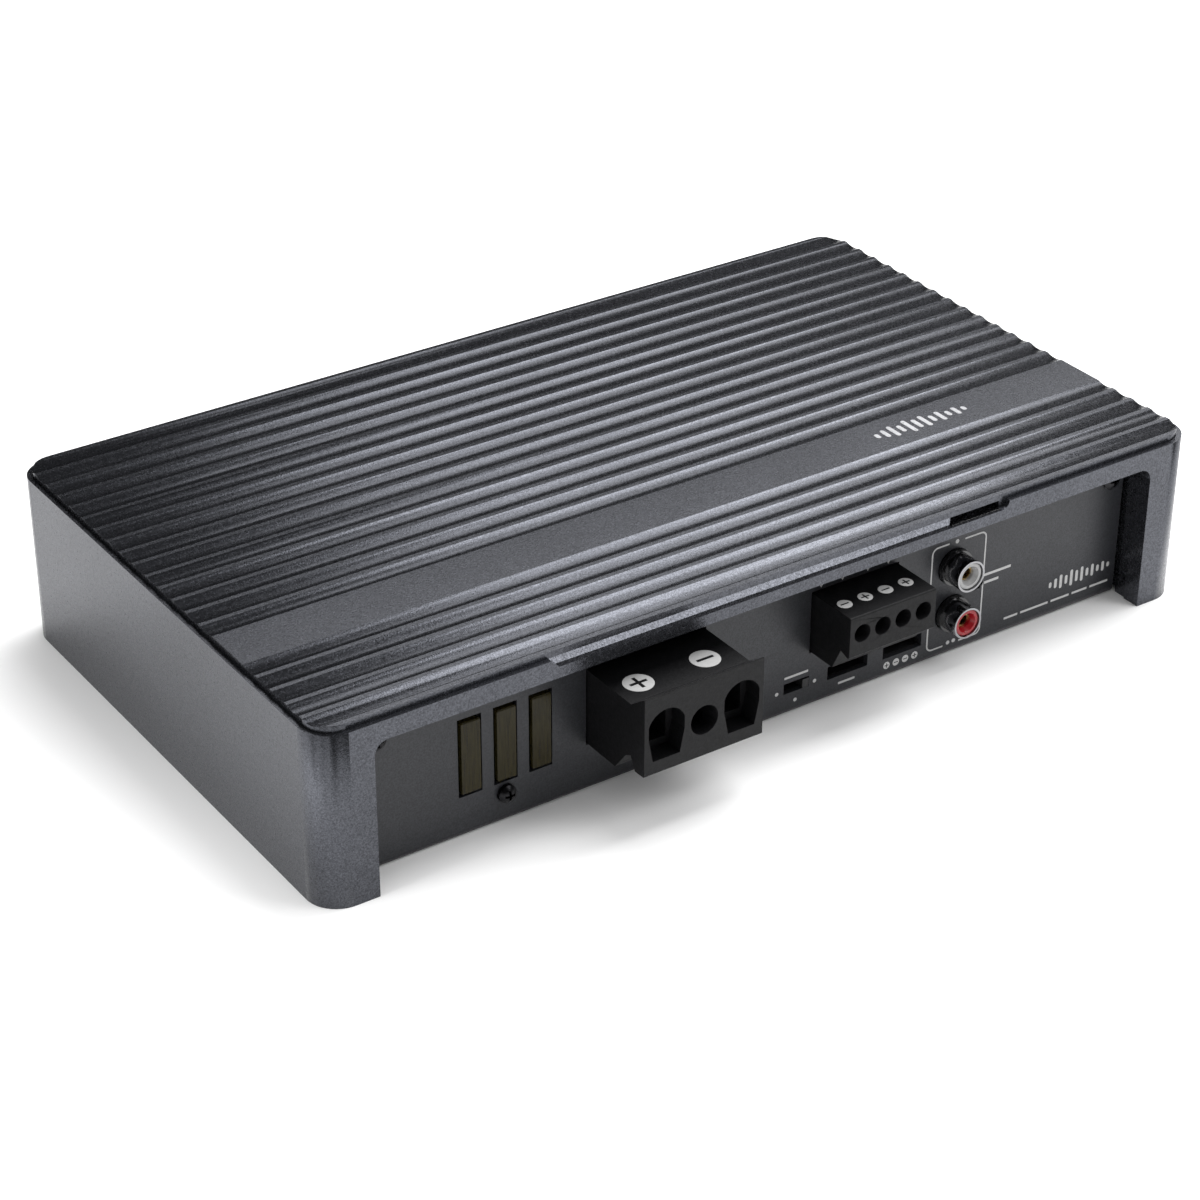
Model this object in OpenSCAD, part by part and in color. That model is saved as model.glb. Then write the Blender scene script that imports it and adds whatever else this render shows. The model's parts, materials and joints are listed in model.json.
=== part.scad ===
// Compact car amplifier with a fluted heat sink housing, pluggable power and
// speaker connectors, blade fuses, two RCA jacks and a rear control panel.
// Origin: on the plane it rests on, midway between the sides, 72.5 mm behind
// the front face. Front is -Y, right is +X, up is +Z.

/* [Housing] */
// Width of the housing, left to right
housing_w = 250; // [240:1:270]
// Depth of the housing, front to back
housing_d = 147; // [144:1:150]
// Height of the housing
housing_h = 46.3; // [46:0.1:50]
// Radius of the upright corners
corner_r = 8; // [6:0.5:12]
// Thickness of the roof
roof_t = 6; // [5:0.5:7]
// Thickness of the long side walls between the corner blocks
side_wall_t = 4; // [3:0.5:6]

/* [Flutes] */
// Width of a flute
flute_w = 5.25; // [4.8:0.05:5.5]
// Depth of a flute
flute_depth = 0.5; // [0.3:0.05:0.8]
// Spacing of the flutes
flute_pitch = 6.49; // [6.3:0.01:6.6]
// Distance from the front face to the middle of the first flute
flute_first = 5.45; // [5:0.05:6]

/* [Openings] */
// Width of the front and rear openings
opening_w = 222; // [216:1:224]
// Height of the front and rear openings
opening_h = 39.8; // [39:0.1:40.2]
// Thickness of the housing's front and rear lips
lip_t = 4.9; // [4.5:0.1:5.5]
// Distance from the lip's face to the panel
panel_recess = 8.8; // [8:0.1:10]

/* [Sheet metal] */
// Thickness of the tray and panels
sheet_t = 1.5; // [1.2:0.1:1.6]

/* [Boards] */
// Height of the main board's top face
board_top = 5.1; // [5:0.05:5.2]
// Thickness of the boards
board_t = 1.6; // [1.2:0.1:1.6]

/* [Fuses] */
// Centre of the first fuse
fuse_x = -82.05; // [-82.5:0.05:-81.5]
// Spacing of the fuses
fuse_pitch = 9.33; // [9.2:0.01:9.5]
// Height of the fuse centres
fuse_z = 21.2; // [20:0.1:22]
// Length of a blade fuse
fuse_len = 19.1; // [19:0.1:19.4]
// Thickness of a blade fuse
fuse_t = 5.1; // [5:0.1:5.3]

/* [Power plug] */
// Centre of the middle wire entry
power_x = -34.5; // [-35:0.1:-34]
// Spacing of the wire entries
power_pitch = 10.3; // [10:0.1:10.4]
// Width of the plug
power_w = 32.6; // [32:0.1:33]

/* [Speaker plug] */
// Centre of the plug
speaker_x = 25.8; // [25.5:0.1:26]
// Spacing of the wire entries
speaker_pitch = 6.08; // [6:0.01:6.2]
// Width of the plug
speaker_w = 25.6; // [25.4:0.1:25.8]

/* [RCA jacks] */
// Distance of the jacks from the centre
rca_x = 56.3; // [55:0.1:57]
// Height of the lower jack
rca_low_z = 12.2; // [12:0.1:13]
// Spacing of the jacks
rca_pitch = 13.1; // [12.8:0.1:13.5]
// Outer diameter of the jack's ring
rca_d = 8.3; // [8.2:0.1:8.4]

/* [Hidden] */
$fn = 48;

e = 0.5;                                      // overshoot of cutting shapes
join = 0.01;                                  // overlap of shapes that become one solid
seat = 0.02;                                  // gap under a part that stands on another
front = -72.5;
rear = front + housing_d;
mid_y = (front + rear) / 2;
cavity_z = housing_h - roof_t;
flute_count = 22;
band_flutes = [5, 6];                         // flute places left out for the plain band
ledge_z = 44.7;                               // height and width of the step round the top
ledge_w = 1.4;
inner_w = opening_w + 1;                      // width between the corner blocks
block_l = 17;                                 // corner block, front to back
bay_w = housing_w - 2 * side_wall_t;
panel_y = front + panel_recess;               // front face of the front panel
panel_back = panel_y + sheet_t;
behind_panel = panel_back + 0.1;              // where parts behind the front panel start
rear_y = rear - panel_recess;                 // outer face of the rear panel
rear_back = rear_y - sheet_t;
panel_w = 221;
wing_gap = 0.4;                               // gap between the tray's wings and the walls
wing_y = lip_t + block_l + wing_gap;          // wings start this far inside the front and rear faces
panel_h = 38.6;
post_x = 106;                                 // screw posts beside the panels
post_w = 8;
post_l = 10;
post_y = rear_back - mid_y - post_l / 2;      // from the housing's middle
post_gap = 0.1;
thread_r = 1.25;                              // hole that a 2.4 mm screw cuts its thread in
clear_r = 1.7;                                // hole that a 2.4 mm screw passes through
screw_d = 2.4;
screw_head_d = 5.2;
panel_screw_z = 34.3;
panel_screw_l = 8;
base_screw_y = 57.5;                          // from the housing's middle
base_screw_l = 10;
foot_hole = [117.5, 63];                      // M4 tapping hole, from the housing's middle
foot_hole_r = 1.65;
jack_screw = [63.1, 18.9];                    // X and Z of the panel screw beside the jacks
block_screw = [-72.9, 8];                     // X and Z of the panel screw under the fuses
board_w = 190;
board_front = panel_back + 0.7;
board_back = 60;
on_board = board_top + seat;
standoff_h = board_top - board_t - sheet_t;
standoffs = [for (x = [-91, 0, 91], y = [-57, 53]) [x, y]];
rail_y = 44;                                  // heat rail hanging from the roof
rail_t = 4;
rail_z = 12;
rail_w = 86;
rail_x = 51;
pad_t = 0.4;
tab_t = 1.3;
transistor_pitch = 14;
bar_screws = [for (k = [-1 : 1]) k * 2 * transistor_pitch];
transistor_z = 16;
case_t = 4.4;
bar_y = rail_y - pad_t - case_t;
bar_t = 4;
bar_z = [19, 26];
bar_screw_z = 22.5;
bevel_x = [-64, 48];                          // foot of the bevel along the front edge
bevel_z = 42.7;
bevel_knee = [0.35, 43.6];                    // depth and height where its two faces meet
window_x = [45.5, 64.8];                      // recess of the dark window at the bevel's right end
window_end_r = 2.25;
window_depth = 4;
lens_x = [47.5, 62.5];
fuse_slot = [6.2, 20.5];
fuse_reach = 0.6;                             // how far a fuse stands proud
fuse_body_l = 11.5;
blade_l = 7;
blade_w = 5.2;
blade_at = 4.65;                              // blade centre from the fuse's middle
fuse_front = panel_y - fuse_reach;
block_y = [behind_panel, -41];
power_front = -86.3;
power_low = 13;
power_high = 32.7;
power_step_y = [-81, -74.9];
power_tail = -54.5;                           // rear end of the plug's tongue
power_screw_y = -69.3;
power_bar_z = [22.4, 23.6];
arch_depth = 5;
speaker_front = -78.1;
speaker_low = 15.6;
speaker_high = 31.7;
speaker_tail = -57;
speaker_screw_y = -68;
speaker_bar_z = [22.9, 23.6];
plug_gap = 0.3;                               // play between a plug and its opening
switch_slot = [5.4, 12.9, 6.15, 9.0];         // x from, x to, z from, z to
slider_w = 1.9;
slider_x = 11.7;
remote_slot = [18.5, 30.7, 5.75, 9.35];
high_level_slot = [35.5, 47.4, 5.65, 9.3];
socket_l = 8.7;                               // depth of the low sockets
collar_d = 9.4;
collar_y = panel_y - 1.6;                     // face of the collar round a jack
shank_r = 3.95;                               // ring's shank behind the collar's face
rca_front = panel_y - 6.6;
socket_top = 10.4;
high_level_pins = [for (k = [0 : 3]) high_level_slot[0] + 2.35 + k * 2.4];
remote_pins = [for (k = [-0.5, 0.5]) (remote_slot[0] + remote_slot[1]) / 2 + k * 3.96];
jacks_z = [rca_low_z, rca_low_z + rca_pitch];
jack_end = -56;                               // rear end of a jack's ring
pot_x = [-60, -30, 0];
pot_z = 20;
pot_bush_r = 3;
pot_shaft_r = 2;
driver_x = 80;                                // left face of the upright board
cap_d = 16;

// ---- shared shapes -------------------------------------------------------

module rounded_rect(w, d, r) {
    square([w - 2 * r, d], center = true);
    square([w, d - 2 * r], center = true);
    for (x = [-1, 1], y = [-1, 1]) translate([x * (w / 2 - r), y * (d / 2 - r)]) circle(r);
}

// Box given by its two opposite corners
module span(a, b) {
    translate(a) cube(b - a);
}

// Cylinder along Y from y0 to y1
module rod_y(x, z, y0, y1, r) {
    translate([x, y0, z]) rotate([-90, 0, 0]) cylinder(h = y1 - y0, r = r);
}

// Cylinder along Z from z0 to z1
module rod_z(x, y, z0, z1, r) {
    translate([x, y, z0]) cylinder(h = z1 - z0, r = r);
}

// The same shape at all four corners of the housing
module at_corners() {
    translate([0, mid_y, 0]) for (x = [-1, 1], y = [-1, 1]) scale([x, y, 1]) children();
}

// Cross recess, as a cutter with its mouth at z = 0 and its depth along -Z
module cross_recess(size, depth) {
    for (turn = [0, 90]) rotate(turn)
        translate([-size / 2, -size / 8, -depth]) cube([size, size / 4, depth + e]);
}

// Pan head screw with its head's underside at z = 0 and its shank along -Z
module pan_screw(d, head_d, head_h, length) {
    dome_r = (pow(head_d / 2, 2) + pow(head_h * 0.55, 2)) / (2 * head_h * 0.55);
    difference() {
        union() {
            cylinder(h = head_h * 0.45, d = head_d);
            intersection() {
                translate([0, 0, head_h - dome_r]) sphere(dome_r);
                cylinder(h = head_h, d = head_d);
            }
            translate([0, 0, -length]) cylinder(h = length + 0.01, d = d);
        }
        translate([0, 0, head_h]) cross_recess(head_d * 0.55, head_h * 0.7);
    }
}

// ---- housing -------------------------------------------------------------

function is_flute(k) = k < band_flutes[0] || k > band_flutes[1];

// Cutter for one flute across the top
module flute(k) {
    r = (pow(flute_w / 2, 2) + pow(flute_depth, 2)) / (2 * flute_depth);
    translate([-housing_w / 2 - e, front + flute_first + k * flute_pitch, housing_h - flute_depth + r])
        rotate([0, 90, 0]) cylinder(h = housing_w + 2 * e, r = r, $fn = 96);
}

// Opening in the front or rear lip, with rounded upper corners
module lip_opening(y0, y1) {
    r = 3.5;
    translate([0, y1, 0]) rotate([90, 0, 0]) linear_extrude(y1 - y0) {
        translate([-opening_w / 2, -e]) square([opening_w, opening_h - r + e]);
        translate([-opening_w / 2 + r, 0]) square([opening_w - 2 * r, opening_h]);
        for (x = [-1, 1]) translate([x * (opening_w / 2 - r), opening_h - r]) circle(r);
    }
}

// Bevel of two faces along the front edge, with a slanted left end
module front_bevel() {
    top = ledge_z + e;
    rise = top - bevel_z;
    intersection() {
        translate([bevel_x[0] - rise, 0, 0]) rotate([90, 0, 90])
            linear_extrude(bevel_x[1] - bevel_x[0] + rise)
                polygon([[front - e, bevel_z], [front, bevel_z], [front + bevel_knee[0], bevel_knee[1]],
                    [front + ledge_w, ledge_z], [front - e, top]]);
        translate([0, front + ledge_w + e, 0]) rotate([90, 0, 0]) linear_extrude(ledge_w + 3 * e)
            polygon([[bevel_x[0], bevel_z], [bevel_x[1], bevel_z], [bevel_x[1], top],
                [bevel_x[0] - rise, top]]);
    }
}

// Recess of the dark window, with a slanted left and a round right end
module window_recess() {
    end_x = window_x[1] - window_end_r;
    back = front + window_depth;
    translate([0, front + ledge_w, 0]) rotate([90, 0, 0]) linear_extrude(ledge_w + e) {
        polygon([[window_x[0], bevel_z], [end_x, bevel_z], [end_x, ledge_z + e],
            [lens_x[0], ledge_z + e], [lens_x[0], bevel_z + 2]]);
        translate([end_x, bevel_z + window_end_r]) circle(window_end_r);
    }
    span([lens_x[0], front + ledge_w - e, bevel_z], [lens_x[1], back, ledge_z]);
    // seat of the window and its light strip
    span([lens_x[0], front + 0.6, bevel_z - 1.2], [lens_x[1], back, bevel_z + e]);
}

module heatsink_housing() color("#3f4247") difference() {
    translate([0, mid_y, 0]) {
        linear_extrude(ledge_z) rounded_rect(housing_w, housing_d, corner_r);
        linear_extrude(housing_h)
            rounded_rect(housing_w - 2 * ledge_w, housing_d - 2 * ledge_w, corner_r - ledge_w);
    }
    for (k = [0 : flute_count - 1]) if (is_flute(k)) flute(k);
    difference() {
        union() {
            span([-inner_w / 2, front + lip_t, -e], [inner_w / 2, rear - lip_t, cavity_z]);
            span([-bay_w / 2, front + lip_t + block_l, -e], [bay_w / 2, rear - lip_t - block_l, cavity_z]);
        }
        at_corners() span([post_x - post_w / 2, post_y - post_l / 2, sheet_t + post_gap],
            [post_x + post_w / 2, post_y + post_l / 2, cavity_z + join]);
        for (x = [-1, 1]) translate([x * rail_x, rail_y, 0])
            span([-rail_w / 2, 0, rail_z], [rail_w / 2, rail_t, cavity_z + join]);
    }
    // seat of the tray round the inside of the walls
    span([-inner_w / 2 - 2, panel_y, -e], [inner_w / 2 + 2, rear_y, sheet_t + 0.4]);
    lip_opening(front - e, front + lip_t + e);
    lip_opening(rear - lip_t - e, rear + e);
    front_bevel();
    window_recess();
    at_corners() {
        rod_z(post_x, base_screw_y, 0, base_screw_l + 6, thread_r);
        rod_z(foot_hole[0], foot_hole[1], -e, 14, foot_hole_r);
        rod_y(post_x, panel_screw_z, rear_y - mid_y - panel_screw_l - 1, rear_y - mid_y, thread_r);
    }
    for (x = [-1, 1], k = bar_screws)
        rod_y(x * rail_x + k, bar_screw_z, rail_y - e, rail_y + rail_t + e, thread_r);
}

// ---- sheet metal ---------------------------------------------------------

// Cutter for an opening in the front panel
module panel_hole(x0, x1, z0, z1) {
    span([x0, panel_y - e, z0], [x1, panel_back + e, z1]);
}

module chassis_tray() color("#35383d") {
    bend_r = 2;
    difference() {
        union() {
            span([-panel_w / 2 - 2, panel_y + bend_r, 0], [panel_w / 2 + 2, rear_back - 0.2, sheet_t]);
            span([-bay_w / 2 + wing_gap, front + wing_y, 0], [bay_w / 2 - wing_gap, rear - wing_y, sheet_t]);
            span([-panel_w / 2, panel_y, bend_r], [panel_w / 2, panel_back, panel_h]);
            translate([-panel_w / 2, panel_y + bend_r, bend_r]) rotate([90, 0, 90]) linear_extrude(panel_w)
                intersection() {
                    difference() {
                        circle(bend_r);
                        circle(bend_r - sheet_t);
                    }
                    translate([-bend_r, -bend_r]) square(bend_r);
                }
        }
        at_corners() translate([post_x, base_screw_y, 0]) {
            translate([0, 0, -e]) cylinder(h = sheet_t + 2 * e, r = clear_r);
            translate([0, 0, -join]) cylinder(h = 1.45, r1 = 3.1, r2 = clear_r);
        }
        for (x = [-1, 1]) rod_y(x * post_x, panel_screw_z, panel_y - e, panel_back + e, clear_r);
        for (p = standoffs) rod_z(p[0], p[1], -e, sheet_t + e, clear_r);
        for (i = [0 : 2]) panel_hole(fuse_at(i) - fuse_slot[0] / 2, fuse_at(i) + fuse_slot[0] / 2,
            fuse_z - fuse_slot[1] / 2, fuse_z + fuse_slot[1] / 2);
        panel_hole(power_x - power_w / 2 - plug_gap, power_x + power_w / 2 + plug_gap,
            power_low - plug_gap, power_high + plug_gap);
        panel_hole(speaker_x - speaker_w / 2 - plug_gap, speaker_x + speaker_w / 2 + plug_gap,
            speaker_low - plug_gap, speaker_high + plug_gap);
        for (s = [switch_slot, remote_slot, high_level_slot]) panel_hole(s[0], s[1], s[2], s[3]);
        for (z = jacks_z) rod_y(rca_x, z, panel_y - e, panel_back + e, collar_d / 2 + 0.1);
        for (s = [jack_screw, block_screw]) rod_y(s[0], s[1], panel_y - e, panel_back + e, clear_r);
    }
}

module rear_panel() color("#35383d") difference() {
    flange_l = 7;
    union() {
        span([-panel_w / 2, rear_back, 0], [panel_w / 2, rear_y, panel_h]);
        span([-panel_w / 2, rear_back - flange_l, sheet_t], [panel_w / 2, rear_back + join, 2 * sheet_t]);
    }
    for (x = [-1, 1]) rod_y(x * post_x, panel_screw_z, rear_back - e, rear_y + e, clear_r);
    for (x = [-1, 1])
        span([x * post_x - 5.5, rear_back - flange_l - e, 1], [x * post_x + 5.5, rear_back, 4]);
    for (x = pot_x) rod_y(x, pot_z, rear_back - e, rear_y + e, pot_bush_r + 0.2);
}

// ---- fasteners -----------------------------------------------------------

module base_screws() color("#1b1c1e") at_corners() translate([post_x, base_screw_y, 0.05]) difference() {
    union() {
        cylinder(h = 1.35, r1 = 2.95, r2 = 1.6);
        cylinder(h = base_screw_l, r = screw_d / 2);
    }
    rotate([180, 0, 0]) cross_recess(3, 1);
}

module panel_screws() color("#141416") {
    for (x = [-1, 1]) {
        translate([x * post_x, panel_y, panel_screw_z]) rotate([90, 0, 0])
            pan_screw(screw_d, screw_head_d, 2, panel_screw_l);
        translate([x * post_x, rear_y, panel_screw_z]) rotate([-90, 0, 0])
            pan_screw(screw_d, screw_head_d, 2, panel_screw_l);
    }
    for (s = [jack_screw, block_screw])
        translate([s[0], panel_y, s[1]]) rotate([90, 0, 0]) pan_screw(screw_d, 4.6, 2.2, 7);
}

// ---- boards and what stands on them -------------------------------------

module main_board() color("#1f5a36") difference() {
    span([-board_w / 2, board_front, board_top - board_t], [board_w / 2, board_back, board_top]);
    for (p = standoffs) rod_z(p[0], p[1], 0, board_top + e, clear_r);
}

module board_standoffs() color("#c9b26a") for (p = standoffs) difference() {
    translate([p[0], p[1], sheet_t]) cylinder(h = standoff_h, d = 6.2, $fn = 6);
    rod_z(p[0], p[1], 0, board_top, thread_r);
}

module board_screws() color("#b9bcc0") {
    for (p = standoffs) translate([p[0], p[1], board_top]) pan_screw(screw_d, screw_head_d, 1.8, 3.4);
    for (x = [-1, 1], k = bar_screws) translate([x * rail_x + k, bar_y - bar_t, bar_screw_z])
        rotate([90, 0, 0]) pan_screw(screw_d, screw_head_d, 1.8, 11);
}

module transistor() {
    lead_pitch = 2.54;
    lead_y = -3.2;
    difference() {
        union() {
            span([-5, -tab_t, transistor_z], [5, 0, transistor_z + 15.5]);
            span([-5, -case_t, transistor_z], [5, -tab_t + join, transistor_z + 9]);
        }
        rod_y(0, transistor_z + 12.6, -tab_t - e, e, 1.8);
    }
    for (k = [-1 : 1]) translate([k * lead_pitch, lead_y, 0])
        span([-0.4, 0, on_board], [0.4, 0.5, transistor_z + join]);
}

module power_transistors() color("#26272a") for (x = [-1, 1], k = [-2.5 : 1 : 2.5])
    translate([x * rail_x + k * transistor_pitch, rail_y - pad_t, 0]) transistor();

module thermal_pads() color("#d9d2c4") for (x = [-1, 1])
    translate([x * rail_x, rail_y - pad_t, 0]) difference() {
        span([-rail_w / 2 + 1, seat, transistor_z - 1], [rail_w / 2 - 1, pad_t - seat, transistor_z + 17]);
        for (k = bar_screws) rod_y(k, bar_screw_z, -e, pad_t + e, clear_r);
    }

module clamp_bars() color("#a9adb2") for (x = [-1, 1]) translate([x * rail_x, 0, 0]) difference() {
    span([-rail_w / 2 + 2, bar_y - bar_t, bar_z[0]], [rail_w / 2 - 2, bar_y - seat, bar_z[1]]);
    for (k = bar_screws) rod_y(k, bar_screw_z, bar_y - bar_t - e, bar_y + e, clear_r);
}

// Ring core with rounded edges; core holds its centre radius, section width and height
module ring(core) {
    rotate_extrude() translate([core[0], 0]) rounded_rect(core[1], core[2], 1);
}

toroid_at = [-60, 5];
toroid = [15, 9, 15];
toroid_z = 11;                                // height of the core's centre over the board
chokes_at = [[62, -30], [62, 8]];
choke = [9.5, 6, 10];
choke_z = 8;

module choke_cores() color("#5d6b3a") {
    translate([toroid_at[0], toroid_at[1], board_top + toroid_z]) ring(toroid);
    for (p = chokes_at) translate([p[0], p[1], board_top + choke_z]) ring(choke);
}

// Wire turns round a core, each a square hoop, with a lead at each end down to the board
module winding(core, turns, wire, gap_turns, centre_h) {
    inside = [core[1] + 0.2, core[2] + 0.2];
    lead_x = core[0] + core[1] / 2 + wire / 2;
    for (k = [gap_turns : turns - 1]) rotate(k * 360 / turns) translate([core[0], 0, 0]) rotate([90, 0, 0])
        linear_extrude(wire, center = true) difference() {
            square([inside[0] + 2 * wire, inside[1] + 2 * wire], center = true);
            square(inside, center = true);
        }
    for (k = [gap_turns, turns - 1]) rotate(k * 360 / turns) translate([lead_x, 0, seat - centre_h])
        cylinder(h = centre_h - core[2] / 2, r = wire / 2 - 0.05);
}

module choke_windings() color("#b5652b") {
    translate([toroid_at[0], toroid_at[1], board_top + toroid_z]) winding(toroid, 26, 1.6, 3, toroid_z);
    for (p = chokes_at) translate([p[0], p[1], board_top + choke_z]) winding(choke, 18, 1.3, 2, choke_z);
}

// Can with a bead near its foot and a raised rim on its top
module capacitor(h) {
    r = cap_d / 2;
    rotate_extrude() polygon([[0, 0], [r - 0.4, 0], [r, 0.4], [r, 2], [r - 0.6, 2.6], [r, 3.2],
        [r, h - 0.4], [r - 0.4, h], [r - 1.2, h], [r - 1.5, h - 0.4], [0, h - 0.4]]);
}

module input_capacitors() color("#2b2d5c") for (x = [-30, -10], y = [-22, 2])
    translate([x, y, on_board]) capacitor(31);

module output_capacitors() color("#1d1e20") for (x = [15, 35], y = [-22, 2, 24])
    translate([x, y, on_board]) capacitor(27);

module driver_board() color("#1f5a36") {
    pin_pitch = 5.08;
    span([driver_x, -38, on_board], [driver_x + board_t, 22, board_top + 24]);
    for (k = [0 : 9]) translate([driver_x + board_t, k * pin_pitch - 34, on_board]) cube([2.4, 1.2, 2.6]);
}

module driver_chips() color("#17181a") {
    for (y = [-28, -12, 4]) translate([driver_x - 1.8, y, board_top + 9]) cube([1.8 - seat, 10, 7]);
    for (y = [-20, 0]) translate([driver_x + board_t + seat, y, board_top + 7]) cube([1.6, 9, 7]);
}

// ---- fuses ---------------------------------------------------------------

function fuse_at(i) = fuse_x + i * fuse_pitch;

module fuse_block() color("#1c1d1f") difference() {
    fuse_end = fuse_front + fuse_body_l;
    pocket = [fuse_t / 2 + 0.25, fuse_len / 2 + 0.25];
    span([fuse_x - 5, block_y[0], on_board], [fuse_at(2) + 5, block_y[1], fuse_z + 12.6]);
    for (i = [0 : 2]) translate([fuse_at(i), 0, fuse_z]) {
        span([-pocket[0], block_y[0] - e, -pocket[1]], [pocket[0], fuse_end + 0.3, pocket[1]]);
        for (s = [-1, 1]) span([-2, fuse_end, s * blade_at - 3.1], [2, block_y[1] - 1, s * blade_at + 3.1]);
    }
    rod_y(block_screw[0], block_screw[1], block_y[0] - e, block_y[0] + 8, thread_r);
}

// Two spring leaves and a back for each blade
module fuse_clips() color("#c8cacd") for (i = [0 : 2], s = [-1, 1])
    translate([fuse_at(i), 0, fuse_z + s * blade_at]) {
        leaf_front = fuse_front + fuse_body_l + 1.2;
        for (side = [-1, 1]) translate([side * 1.05 - 0.3, 0, 0])
            span([0, leaf_front, -2.9], [0.6, block_y[1] - 1.3, 2.9]);
        span([-1.35, block_y[1] - 1.9, -2.9], [1.35, block_y[1] - 1.2, 2.9]);
    }

module fuse_body(i) color("#a89a62") translate([fuse_at(i), fuse_front, fuse_z]) difference() {
    slot_end = 7.6;                           // ends of the fuse wire's slot, from the middle
    union() {
        span([-fuse_t / 2, 0, -fuse_len / 2], [fuse_t / 2, 5.5, fuse_len / 2]);
        span([-fuse_t / 2 + 0.5, 5.4, -fuse_len / 2 + 1.2],
            [fuse_t / 2 - 0.5, fuse_body_l, fuse_len / 2 - 1.2]);
    }
    span([-0.45, 2, -slot_end], [0.45, fuse_body_l + e, slot_end]);
}

module fuse_blades(i) color("#c8cacd") translate([fuse_at(i), fuse_front, fuse_z]) {
    for (s = [-1, 1])
        span([-0.4, 3, s * blade_at - blade_w / 2], [0.4, fuse_body_l + blade_l, s * blade_at + blade_w / 2]);
    translate([-0.4, 5, 0]) rotate([90, 0, 90]) linear_extrude(0.8) difference() {
        circle(4.4);
        circle(3.2);
        translate([-6, -6]) square([6, 12]);
    }
}

// ---- power connector -----------------------------------------------------

function power_at(i) = power_x + (i - 1) * power_pitch;
function speaker_at(i) = speaker_x + (i - 1.5) * speaker_pitch;

module power_header() color("#17181a") difference() {
    w = power_w / 2 + 1.6;
    back = power_tail + 3.5;
    translate([power_x, 0, 0]) {
        span([-w, behind_panel, power_low - 1.6], [w, back, power_high + 1.6]);
        span([-w, power_tail + 0.5, on_board], [w, back, power_low]);
    }
    span([power_x - power_w / 2 - plug_gap, panel_back - e, power_low - plug_gap],
        [power_x + power_w / 2 + plug_gap, power_tail + 0.5, power_high + plug_gap]);
    for (i = [0 : 2]) translate([power_at(i), power_tail, 0])
        span([-1.6, 0, power_bar_z[0] - 1.2], [1.6, 4, power_bar_z[1] + 1.2]);
}

// Blades that enter the plugs, each with a leg down to the board
module header_pins() color("#c8cacd") {
    for (i = [0 : 2]) translate([power_at(i), power_tail, 0]) {
        span([-1.5, -5, power_bar_z[0] + 0.1], [1.5, 5, power_bar_z[1] - 0.1]);
        span([-1.5, 4.01, on_board], [1.5, 5, power_bar_z[1] - 0.1]);
    }
    for (i = [0 : 3]) translate([speaker_at(i), speaker_tail, 0]) {
        span([-0.9, -4, speaker_bar_z[0] + 0.1], [0.9, 4.5, speaker_bar_z[1] + 0.2]);
        span([-0.9, 3.7, on_board], [0.9, 4.5, speaker_bar_z[1] + 0.2]);
    }
    for (x = high_level_pins)
        span([x - 0.3, panel_back + 1.2, 6.9], [x + 0.3, panel_back + socket_l - 0.1, 7.5]);
    for (x = remote_pins)
        span([x - 0.5, panel_back + 1.2, 7], [x + 0.5, panel_back + socket_l - 0.1, 8]);
}

// Side outline of the power plug, as Y and Z
module power_profile() {
    back = panel_y + 1;                       // where the plug narrows to its tongue
    polygon([[power_tail, power_low + 2], [power_tail, power_high - 2], [back, power_high - 2],
        [back, power_high], [power_step_y[0], power_high], [power_front + 0.3, 36.4],
        [power_front, 36.1], [power_front, 16.3], [power_front + 0.3, 16], [-82.7, 15.9], [-81, 19.3],
        [-79.1, 18.3], [power_step_y[1], power_low], [back, power_low], [back, power_low + 2]]);
}

// Arched wire entry that narrows to a flat floor, in X and Z
module arch() {
    arch_r = 5.1;
    arch_z = 27.15;
    intersection() {
        union() {
            translate([0, arch_z]) circle(arch_r);
            polygon([[-3.65, 19.5], [3.65, 19.5], [arch_r * cos(8), arch_z + arch_r * sin(-8)],
                [-arch_r * cos(8), arch_z + arch_r * sin(-8)]]);
        }
        translate([-4.86, 19.5]) square([9.72, 13]);
    }
}

module power_plug_body() color("#202124") difference() {
    translate([power_x - power_w / 2, 0, 0]) rotate([90, 0, 90]) linear_extrude(power_w) power_profile();
    for (i = [0, 2]) translate([power_at(i), power_front + arch_depth, 0]) rotate([90, 0, 0])
        linear_extrude(arch_depth + e) arch();
    rod_y(power_x, 25.65, power_front - e, power_front + 12, 3.73);
    for (i = [0 : 2]) {
        x = power_at(i);
        span([x - 4.2, power_screw_y - 4.4, 15.4], [x + 4.2, power_screw_y + 4.4, 31.5]);
        span([x - 3.2, power_front + arch_depth - 0.1, 21.5], [x + 3.2, power_screw_y - 4, 30]);
        rod_z(x, power_screw_y, power_low - e, 15.5, 2.4);
        span([x - 2.2, power_screw_y + 4, 20.6], [x + 2.2, power_tail + e, 25.4]);
    }
}

// Current bars: one end under the wire, the other a fork round the header's blade
module power_plug_contacts() color("#c8a94e") for (i = [0 : 2]) translate([power_at(i), 0, 0]) {
    fork_y = power_screw_y + 4.2;
    span([-3, power_screw_y - 4.3, power_bar_z[0] - 0.2], [3, power_screw_y + 4.3, power_bar_z[0] + 1]);
    span([-1.9, fork_y, power_bar_z[0] - 1], [1.9, power_tail - 0.3, power_bar_z[0] + 0.05]);
    span([-1.9, fork_y, power_bar_z[1] - 0.05], [1.9, power_tail - 0.3, power_bar_z[1] + 1]);
    span([-1.9, fork_y, power_bar_z[0] - 1], [1.9, fork_y + 1, power_bar_z[1] + 1]);
}

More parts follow.
